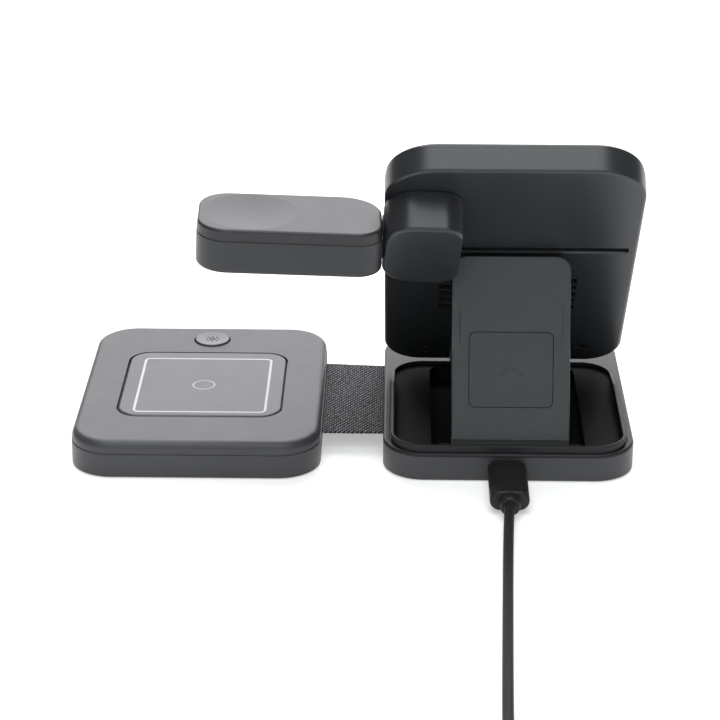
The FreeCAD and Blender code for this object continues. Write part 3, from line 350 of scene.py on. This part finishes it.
# The tray colour is painted shade for the base's sunk tray
DECK_COLOR, TRAY_SHADE_COLOR = (0.0200, 0.0204, 0.0220), (0.0030, 0.0030, 0.0034)
WINDING_SCALE = (2600.0, 2600.0, 400.0)

# Plane of the seam round the phone plate: its normal and its place along that, in metres, with the width of
# the painted highlight along the seam's edge and how much lighter it is
SEAM_NORMAL = (0.0, -0.777146, -0.629320)
SEAM_OFFSET = -0.032733
SEAM_WIDTH = 0.00016
SEAM_HIGHLIGHT_GAIN = 2.3

SHELL = plastic("shell_plastic", (0.0405, 0.0411, 0.0440), rough=0.40)
COVER = deck_plastic("cover_plastic", DECK_COLOR, TRAY_SHADE_COLOR, rough=0.40, matte=0.72)
PLATE = plastic("plate_plastic", (0.0238, 0.0264, 0.0284), rough=0.33)
# Painted highlight along the edge of the plate's seam
seam_highlight(PLATE, SEAM_NORMAL, SEAM_OFFSET, SEAM_WIDTH, SEAM_HIGHLIGHT_GAIN)
STRUT = plastic("strut_plastic", (0.0368, 0.0416, 0.0438), rough=0.48, **COARSE)
PANEL = plastic("panel_plastic", (0.0320, 0.0362, 0.0380), rough=0.42, **COARSE)
PAD_TOP = plastic("pad_plastic", (0.0460, 0.0464, 0.0505), rough=0.44)
PAD_PLATE = plastic("pad_plate_plastic", (0.0530, 0.0565, 0.0600), rough=0.38)
ARM_TOP = plastic("arm_top_plastic", (0.0205, 0.0208, 0.0224), rough=0.43)
ARM = plastic("arm_plastic", (0.0225, 0.0240, 0.0256), rough=0.40)
KNUCKLE = plastic("knuckle_plastic", (0.0220, 0.0239, 0.0264), rough=0.31, depth=0.000005)
BUTTON = plastic("button_plastic", (0.1000, 0.1030, 0.1070), rough=0.36)
SOLE = rubber("sole_rubber", (0.018, 0.018, 0.019))
CABLE = rubber("cable_jacket", (0.0105, 0.0098, 0.0120), rough=0.60, grain=1800.0)
OVERMOULD = plastic("overmould_plastic", (0.0085, 0.0085, 0.0097), rough=0.50, specular=0.4)
SIGN = plastic("sign_ink", (0.006, 0.006, 0.0065), rough=0.85, specular=0.08, **INK_FINISH)
PRINT = plastic("print_ink", (0.56, 0.575, 0.59), rough=0.5, **INK_FINISH)
STEEL = metal("steel_metal", (0.55, 0.55, 0.56), 0.28)
BLACK_STEEL = metal("black_steel", (0.10, 0.10, 0.105), 0.38)
COPPER = metal("copper_wire", (0.72, 0.33, 0.16), 0.32, WINDING_SCALE)
BOARD = plastic("board_mask", (0.010, 0.075, 0.035), rough=0.35, grain=900.0)
FERRITE = plastic("ferrite_ceramic", (0.024, 0.024, 0.026), rough=0.62, grain=1600.0)

NODE_MATERIALS = {
    SHELL: ("base_case", "pad_case"),
    COVER: ("base_cover",),
    ARM: ("arm_case",),
    PLATE: ("plate_rear", "plate_front"),
    STRUT: ("strut",),
    PANEL: ("strut_panel",),
    PAD_TOP: ("pad_cover",),
    ARM_TOP: ("arm_cover",),
    PAD_PLATE: ("pad_plate",),
    KNUCKLE: ("knuckle",),
    BUTTON: ("lamp_button",),
    SOLE: ("base_foot", "pad_foot"),
    CABLE: ("cord", "cord_coil", "cord_tail"),
    OVERMOULD: ("plug_body", "plug_boot", "far_boot", "far_plug_body", "cord_tie"),
    STEEL: ("plate_pin", "strut_pin_left", "strut_pin_right", "swivel_stud", "swivel_clip", "arm_pin",
            "usb_socket", "plug_tip", "far_plug_tip", "plate_magnets", "arm_magnet"),
    BLACK_STEEL: ("plate_screw_left", "plate_screw_right", "strap_clamp_base", "strap_clamp_pad"),
    COPPER: ("plate_coil", "arm_coil", "pad_coil"),
    BOARD: ("base_board", "plate_board", "pad_board"),
    FERRITE: ("plate_shield", "arm_shield", "pad_shield", "pad_switch"),
}
for material, names in NODE_MATERIALS.items():
    for name in names:
        for slot in nodes[name].material_slots:
            slot.material = material


# Cable: one smooth line from the plug's boot, along the table, round its coil and on to the far plug

CORD_R = 1.5
CORD_ORDER = 3
CORD_STEPS = 6
CORD_SIDES = 6
COIL_X, COIL_Y, COIL_Z = -25.9, -226.0, 5.0
COIL_R = 18.0
COIL_TURNS = 6.25
COIL_STEPS = 16
# Where each turn lies in the coil's section, outwards and upwards from the middle
TURN_PLACES = (
    (1.575, -2.73),
    (-1.575, -2.73),
    (-3.15, 0.0),
    (-1.575, 2.73),
    (0.0, 0.0),
    (1.575, 2.73),
    (3.15, 0.0),
)
# In turns: where the first step to another place starts, how much earlier in its turn each next one does,
# and how long a step is
FIRST_STEP, STEP_EARLIER, STEP_LENGTH = 0.86, 0.125, 0.13
# The last part of the coil, in turns, in which the line moves outwards and down to leave it
LEAVE_LENGTH = 0.25
LEAVE_OUT, LEAVE_DOWN = 3.0, 1.0
CORD_ROUTE = [
    (-1.10, -74.8, 4.4),
    (-1.75, -86.0, 4.4),
    (-2.50, -103.0, 1.8),
    (-3.70, -132.0, 1.55),
    (-4.75, -158.0, 1.62),
    (-5.75, -184.0, 1.55),
    (-6.30, -206.0, 1.75),
]
TAIL_ROUTE = [
    (COIL_X - 9.0, COIL_Y - 23.4, 3.5),
    (COIL_X - 18.0, COIL_Y - 21.6, 3.2),
    (COIL_X - 27.0, COIL_Y - 21.4, 3.2),
]


def coil_points():
    """Turns that lie beside and on each other, with each step to the next place a little earlier."""
    points = []
    count = int(COIL_TURNS * COIL_STEPS)
    for i in range(count + 1):
        t = i / COIL_STEPS
        out, rise = TURN_PLACES[0]
        for k in range(1, len(TURN_PLACES)):
            start = (k - 1) + FIRST_STEP - STEP_EARLIER * (k - 1)
            share = smoothstep(start, start + STEP_LENGTH, t)
            out += (TURN_PLACES[k][0] - TURN_PLACES[k - 1][0]) * share
            rise += (TURN_PLACES[k][1] - TURN_PLACES[k - 1][1]) * share
        leave = smoothstep(COIL_TURNS - LEAVE_LENGTH, COIL_TURNS, t)
        radius = COIL_R + out + LEAVE_OUT * leave
        angle = -2 * math.pi * t
        points.append((
            COIL_X + radius * math.cos(angle),
            COIL_Y + radius * math.sin(angle),
            COIL_Z + rise - LEAVE_DOWN * leave,
        ))
    return points


def add_cord():
    route = CORD_ROUTE + coil_points() + TAIL_ROUTE
    curve = bpy.data.curves.new("cord_line", "CURVE")
    curve.dimensions = "3D"
    spline = curve.splines.new("NURBS")
    spline.points.add(len(route) - 1)
    for point, place in zip(spline.points, route):
        point.co = (place[0] * MM, place[1] * MM, place[2] * MM, 1.0)
    spline.order_u = CORD_ORDER
    spline.use_endpoint_u = True
    spline.resolution_u = CORD_STEPS
    curve.bevel_depth = CORD_R * MM
    curve.bevel_resolution = CORD_SIDES
    curve.use_fill_caps = True
    curve.materials.append(CABLE)
    cord = link(bpy.data.objects.new("cord_line", curve))
    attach(cord, "base")
    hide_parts("cord", "cord_coil", "cord_tail")


add_cord()


# Woven strap between base and pad

STRAP_LEFT, STRAP_RIGHT = -64.35, -31.25
STRAP_FRONT, STRAP_BACK = -26.1, 27.3
STRAP_LOW, STRAP_TOP = 5.7, 6.5
STRAP_ACROSS, STRAP_ALONG = 40, 150
# Distances from the front or back edge between which the band reaches its whole thickness
SWELL_FROM, SWELL_TO = -0.25, 0.9
RIPPLE_HEIGHT, RIPPLE_ANGLE = 0.002, 127.1
# Height, angle from end to end, and first angle of the waves in the frayed edges
FRAYS = ((0.12, 97.0, 0.0), (0.08, 233.0, 1.3))
# How much further back the back edge lies at the pad, and the shares of the width between which it gets there
SKEW = 1.6
SKEW_FROM, SKEW_TO = 0.9, 0.1

# Turns of the weave's two waves in a millimetre, along x and along y
TWILL_COLUMNS = (1.45, 0.0)
TWILL_ROWS = (0.72, -0.50)
WANDER_SCALE = 420.0
WANDER = (0.0005, 0.0009, 0.0)
COLUMN_GAIN, COLUMN_BASE = 0.62, 0.38
YARN_POWER = 1.1
YARN_DEPTH, YARN_BUMP = 0.00025, 0.8
FLECK_SCALE, FLECK_DETAIL, FLECK_ROUGH = 950.0, 2.0, 0.6
FLECK_GAIN, FLECK_BASE = 2.6, -0.55
YARN_LOW, YARN_HIGH = 0.06, 0.75
YARN_DARK, YARN_LIGHT = (0.0018, 0.0017, 0.0020), (0.275, 0.272, 0.285)
YARN_ROUGH, YARN_GLOSS_SPREAD = 0.7, 0.1
YARN_SPECULAR = 0.08
YARN_SHEEN, YARN_SHEEN_ROUGH = 0.02, 0.45


def cycle(tree, coords, turns_x, turns_y):
    """A wave from 0 to 1 in the strap's plane, with so many turns in a millimetre."""
    turn = 2 * math.pi / MM
    wave = math_node(tree, "COSINE", dot_product(tree, coords, (turn * turns_x, turn * turns_y, 0.0)))
    return math_node(tree, "MULTIPLY_ADD", wave, 0.5, 0.5)


def webbing():
    """Twill: light floats in slanting rows over darker yarn, slightly uneven in place and brightness."""
    material, tree, bsdf = new_material("webbing_twill")
    coords = object_coords(tree)
    wander = tree.nodes.new("ShaderNodeTexNoise")
    wander.inputs["Scale"].default_value = WANDER_SCALE
    tree.links.new(coords, wander.inputs["Vector"])
    shift = tree.nodes.new("ShaderNodeVectorMath")
    shift.operation = "MULTIPLY_ADD"
    shift.inputs[1].default_value = WANDER
    tree.links.new(wander.outputs["Color"], shift.inputs[0])
    tree.links.new(coords, shift.inputs[2])
    place = shift.outputs["Vector"]
    columns = cycle(tree, place, *TWILL_COLUMNS)
    rows = cycle(tree, place, *TWILL_ROWS)
    breaks = math_node(tree, "MULTIPLY_ADD", columns, COLUMN_GAIN, COLUMN_BASE)
    float_yarn = math_node(tree, "POWER", math_node(tree, "MULTIPLY", rows, breaks), YARN_POWER)
    fleck = noise(tree, coords, FLECK_SCALE, FLECK_DETAIL, FLECK_ROUGH)
    flecked = math_node(tree, "MULTIPLY_ADD", fleck, FLECK_GAIN, FLECK_BASE)
    bright = math_node(tree, "MULTIPLY", float_yarn, flecked)
    color = ramp(tree, bright, YARN_LOW, YARN_HIGH, YARN_DARK, YARN_LIGHT)
    tree.links.new(color, bsdf.inputs["Base Color"])
    uneven_gloss(tree, bsdf, fleck, YARN_ROUGH, YARN_GLOSS_SPREAD)
    bsdf.inputs["Specular IOR Level"].default_value = YARN_SPECULAR
    bsdf.inputs["Sheen Weight"].default_value = YARN_SHEEN
    bsdf.inputs["Sheen Roughness"].default_value = YARN_SHEEN_ROUGH
    bump(tree, bsdf, float_yarn, YARN_DEPTH, YARN_BUMP)
    return material


def strap_rows():
    """Rows of points from front to back: x, y, share of the thickness, and rise."""
    depth = STRAP_BACK - STRAP_FRONT
    rows = []
    for j in range(STRAP_ALONG + 1):
        v = j / STRAP_ALONG
        at_edge = j in (0, STRAP_ALONG)
        swell = smoothstep(SWELL_FROM, SWELL_TO, min(v, 1 - v) * depth)
        rise = 0.0 if at_edge else RIPPLE_HEIGHT * math.sin(RIPPLE_ANGLE * v)
        row = []
        for i in range(STRAP_ACROSS + 1):
            u = i / STRAP_ACROSS
            x = STRAP_LEFT + (STRAP_RIGHT - STRAP_LEFT) * u
            y = STRAP_FRONT + depth * v
            y += SKEW * smoothstep(SKEW_FROM, SKEW_TO, u) * smoothstep(0.0, 1.0, v)
            if at_edge:
                y += sum(height * math.sin(angle * u + first) for height, angle, first in FRAYS)
            row.append((x, y, swell, rise))
        rows.append(row)
    return rows


def strap_face(bm, rows, side):
    """Vertices of the band's upper face, side 1, or its lower face, side -1."""
    middle = (STRAP_LOW + STRAP_TOP) / 2
    half = side * (STRAP_TOP - STRAP_LOW) / 2
    return [
        [bm.verts.new((x * MM, y * MM, (middle + half * swell + rise) * MM)) for x, y, swell, rise in row]
        for row in rows
    ]


def add_strap():
    bm = bmesh.new()
    rows = strap_rows()
    tops = strap_face(bm, rows, 1)
    lows = strap_face(bm, rows, -1)
    last_i, last_j = STRAP_ACROSS, STRAP_ALONG
    for j in range(last_j):
        for i in range(last_i):
            bm.faces.new((tops[j][i], tops[j][i + 1], tops[j + 1][i + 1], tops[j + 1][i]))
            bm.faces.new((lows[j][i], lows[j + 1][i], lows[j + 1][i + 1], lows[j][i + 1]))
    for i in range(last_i):
        bm.faces.new((lows[0][i], lows[0][i + 1], tops[0][i + 1], tops[0][i]))
        bm.faces.new((tops[last_j][i], tops[last_j][i + 1], lows[last_j][i + 1], lows[last_j][i]))
    for j in range(last_j):
        bm.faces.new((tops[j][0], tops[j + 1][0], lows[j + 1][0], lows[j][0]))
        bm.faces.new((lows[j][last_i], lows[j + 1][last_i], tops[j + 1][last_i], tops[j][last_i]))
    strap = mesh_object("strap_band", bm)
    strap.data.materials.append(webbing())
    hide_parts("strap")
    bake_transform(strap)


add_strap()


# Printed marks

PAD_X = -95.6
INK_RISE = 0.03
CORNER_STEPS = 10

PAD_PLATE_Z = 12.0
SQUARE_X, SQUARE_Y = PAD_X + 0.15, -2.95
SQUARE_WIDTH, SQUARE_DEPTH, SQUARE_CORNER = 41.6, 43.0, 2.1
SQUARE_LINE = 0.78
RING_X, RING_Y = PAD_X + 0.05, -3.05
RING_R, RING_LINE = 3.40, 0.60
RING_DASHES, RING_DASH = 28, 0.50

BUTTON_Y = 35.1
BUTTON_LOW_Z = 12.05
BUTTON_BALL_R = 52.1
SIGN_R, SIGN_BORE_R = 0.90, 0.58
SIGN_STEPS = 40
SIGN_RAYS, RAY_R, RAY_LENGTH, RAY_LINE = 8, 1.90, 0.85, 0.36


def rounded_loop(width, height, radius):
    """Points round a rounded rectangle, anticlockwise."""
    points = []
    for k, (sx, sy) in enumerate(((1, 1), (-1, 1), (-1, -1), (1, -1))):
        cx = sx * (width / 2 - radius)
        cy = sy * (height / 2 - radius)
        for i in range(CORNER_STEPS + 1):
            a = math.radians(90 * k + 90 * i / CORNER_STEPS)
            points.append((cx + radius * math.cos(a), cy + radius * math.sin(a)))
    return points


def plate_height(px, py):
    """The pad's charging plate is flat."""
    return PAD_PLATE_Z


def dish_height(px, py):
    """The button's top is dished about its middle."""
    return BUTTON_LOW_Z + (px * px + py * py) / (2 * BUTTON_BALL_R)


def ink_loop(bm, loop, x, y, height, lift):
    """Vertices of a loop about x, y, lifted off the surface under it."""
    return [
        bm.verts.new(((x + px) * MM, (y + py) * MM, (height(px, py) + lift) * MM)) for px, py in loop
    ]


def add_band(bm, outer, inner, x, y, height):
    """A thin raised line between two loops."""
    levels = ((outer, -INK_RISE), (outer, INK_RISE), (inner, INK_RISE), (inner, -INK_RISE))
    bridge(bm, [ink_loop(bm, loop, x, y, height, lift) for loop, lift in levels])


def add_dash(bm, angle, radius, across, along, x, y, height):
    """A raised dash at an angle round a circle: its size across the circle's line and along it."""
    a = math.radians(angle)
    corners = []
    for out, side in ((-1, -1), (1, -1), (1, 1), (-1, 1)):
        r = radius + out * across / 2
        s = side * along / 2
        corners.append((r * math.cos(a) - s * math.sin(a), r * math.sin(a) + s * math.cos(a)))
    tops = ink_loop(bm, corners, x, y, height, INK_RISE)
    lows = ink_loop(bm, corners, x, y, height, -INK_RISE)
    bm.faces.new(tops)
    bridge(bm, [lows, tops])


def add_pad_print():
    """A square line and a dashed ring on the pad's charging plate."""
    bm = bmesh.new()
    outer = rounded_loop(SQUARE_WIDTH, SQUARE_DEPTH, SQUARE_CORNER)
    inner = rounded_loop(
        SQUARE_WIDTH - 2 * SQUARE_LINE, SQUARE_DEPTH - 2 * SQUARE_LINE, SQUARE_CORNER - SQUARE_LINE
    )
    add_band(bm, outer, inner, SQUARE_X, SQUARE_Y, plate_height)
    for k in range(RING_DASHES):
        angle = 360.0 * k / RING_DASHES
        add_dash(bm, angle, RING_R, RING_LINE, RING_DASH, RING_X, RING_Y, plate_height)
    mark = mesh_object("pad_print", bm, smooth=False)
    mark.data.materials.append(PRINT)
    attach(mark, "pad")


def add_button_mark():
    """Plain lamp sign on the button's dish: a ring with short rays."""
    bm = bmesh.new()
    outer = circle_loop(SIGN_R, SIGN_STEPS)
    inner = circle_loop(SIGN_BORE_R, SIGN_STEPS)
    add_band(bm, outer, inner, PAD_X, BUTTON_Y, dish_height)
    for k in range(SIGN_RAYS):
        angle = 360.0 * k / SIGN_RAYS
        add_dash(bm, angle, RAY_R, RAY_LENGTH, RAY_LINE, PAD_X, BUTTON_Y, dish_height)
    mark = mesh_object("button_print", bm, smooth=False)
    mark.data.materials.append(SIGN)
    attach(mark, "button")


add_pad_print()
add_button_mark()


# Friction washer on the arm's pin, between arm and knuckle: a dark disc that closes the gap there and stands
# in for the shade between the parts as painted shade; its faces are placed along the joint's axis

WASHER_BORE_R = 1.55
WASHER_R = 6.4
WASHER_NEAR, WASHER_FAR = -11.52, -11.78
WASHER_EDGE = 0.06
WASHER_STEPS = 72


def add_arm_shade_washer():
    joint = next(j for j in frame["record"]["behaviour"]["joints"] if j["name"] == "arm_tilt")
    axis = Vector(joint["axis"]).normalized()
    centre = Vector(joint["pos_m"])
    side = axis.orthogonal().normalized()
    turn = axis.cross(side)
    rim = WASHER_R - WASHER_EDGE
    profile = (
        (WASHER_BORE_R, WASHER_FAR),
        (rim, WASHER_FAR),
        (WASHER_R, WASHER_FAR + WASHER_EDGE),
        (WASHER_R, WASHER_NEAR - WASHER_EDGE),
        (rim, WASHER_NEAR),
        (WASHER_BORE_R, WASHER_NEAR),
    )
    bm = bmesh.new()
    rings = []
    for radius, along in profile:
        loop = circle_loop(radius, WASHER_STEPS)
        places = [centre + (axis * along + side * px + turn * py) * MM for px, py in loop]
        rings.append([bm.verts.new(place) for place in places])
    bridge(bm, rings + rings[:1])
    bmesh.ops.recalc_face_normals(bm, faces=bm.faces)
    washer = mesh_object("arm_shade_washer", bm, smooth=False)
    washer.data.materials.append(OVERMOULD)
    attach(washer, "arm")


add_arm_shade_washer()


# Table, light and surroundings, in metres and watts

FLOOR_HALF = 6.0
FLOOR_CLOUD_SCALE = 3.0
FLOOR_DARK, FLOOR_LIGHT = 0.90, 0.92
FLOOR_ROUGH = 0.7
FLOOR_SPECULAR = 0.2
FLOOR_GLOW = 0.40
WORLD_STRENGTH = 0.10
# Name, place, target, width and height, power, colour
LIGHTS = (
    ("top_light", (-0.04, -0.05, 1.4), (-0.04, -0.049, 0.0), (1.1, 1.9), 19.0, (0.97, 0.99, 1.0)),
    ("back_light", (-0.04, 1.6, 1.2), (-0.04, 0.0, 0.4), (2.0, 2.3), 41.0, (0.98, 0.965, 1.0)),
    ("front_light", (-0.04, -1.9, 1.25), (-0.04, 0.0, 0.05), (3.0, 1.9), 21.0, (0.95, 0.985, 1.0)),
)


def add_floor():
    """A pale floor with a glow that camera, gloss and glass see and that doesn't light the object."""
    bm = bmesh.new()
    bmesh.ops.create_grid(bm, x_segments=1, y_segments=1, size=FLOOR_HALF)
    floor = mesh_object("table", bm, smooth=False)
    material, tree, bsdf = new_material("table_white")
    cloud = noise(tree, object_coords(tree), FLOOR_CLOUD_SCALE)
    tree.links.new(mottle(tree, cloud, WHITE, FLOOR_DARK, FLOOR_LIGHT), bsdf.inputs["Base Color"])
    bsdf.inputs["Roughness"].default_value = FLOOR_ROUGH
    bsdf.inputs["Specular IOR Level"].default_value = FLOOR_SPECULAR
    bsdf.inputs["Emission Color"].default_value = (*WHITE, 1.0)
    path = tree.nodes.new("ShaderNodeLightPath")
    seen = math_node(tree, "ADD", path.outputs["Is Camera Ray"], path.outputs["Is Glossy Ray"])
    seen = math_node(tree, "ADD", seen, path.outputs["Is Transmission Ray"])
    glow = math_node(tree, "MULTIPLY", math_node(tree, "MINIMUM", seen, 1.0), FLOOR_GLOW)
    tree.links.new(glow, bsdf.inputs["Emission Strength"])
    material.cycles.emission_sampling = "NONE"
    floor.data.materials.append(material)


def add_area(name, place, target, size, power, color):
    data = bpy.data.lights.new(name, "AREA")
    data.shape = "RECTANGLE"
    data.size, data.size_y = size
    data.energy = power
    data.color = color
    light = link(bpy.data.objects.new(name, data))
    light.location = place
    light.rotation_euler = (Vector(target) - Vector(place)).to_track_quat("-Z", "Y").to_euler()


def add_world():
    world = bpy.data.worlds.new("studio")
    world.use_nodes = True
    background = world.node_tree.nodes["Background"]
    background.inputs["Color"].default_value = (*WHITE, 1.0)
    background.inputs["Strength"].default_value = WORLD_STRENGTH
    scene.world = world


add_floor()
for light in LIGHTS:
    add_area(*light)
add_world()
